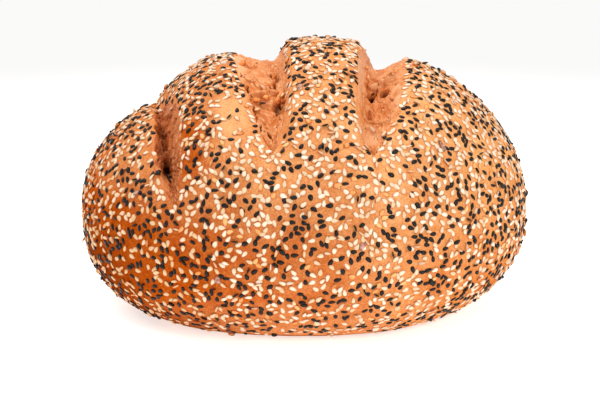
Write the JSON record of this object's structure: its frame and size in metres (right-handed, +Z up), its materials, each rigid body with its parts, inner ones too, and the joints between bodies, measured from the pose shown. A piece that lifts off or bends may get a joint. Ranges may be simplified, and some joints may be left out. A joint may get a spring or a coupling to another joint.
{
  "type": "country bread",
  "caption": "Oval country loaf with a flat base, slashed across the crown into rounded humps, its brown crust covered in pale and black sesame.",
  "frame": {"origin": "middle of the flat base, on the surface the loaf stands on", "axes": "+Z up; X along the loaf, across the slashes, with the slumped hump at -X; -Y is the side shown"},
  "size_m": [0.2, 0.1708, 0.1189],
  "materials": {
    "crust": "baked golden brown crust, satin",
    "crumb": "torn baked crumb inside the slashes, matte",
    "pale_sesame": "hulled sesame, lightly toasted, satin",
    "golden_sesame": "sesame toasted golden, satin",
    "black_sesame": "black sesame, matte"
  },
  "bodies": {
    "root": {"loaf": "crust"}
  },
  "joints": []
}
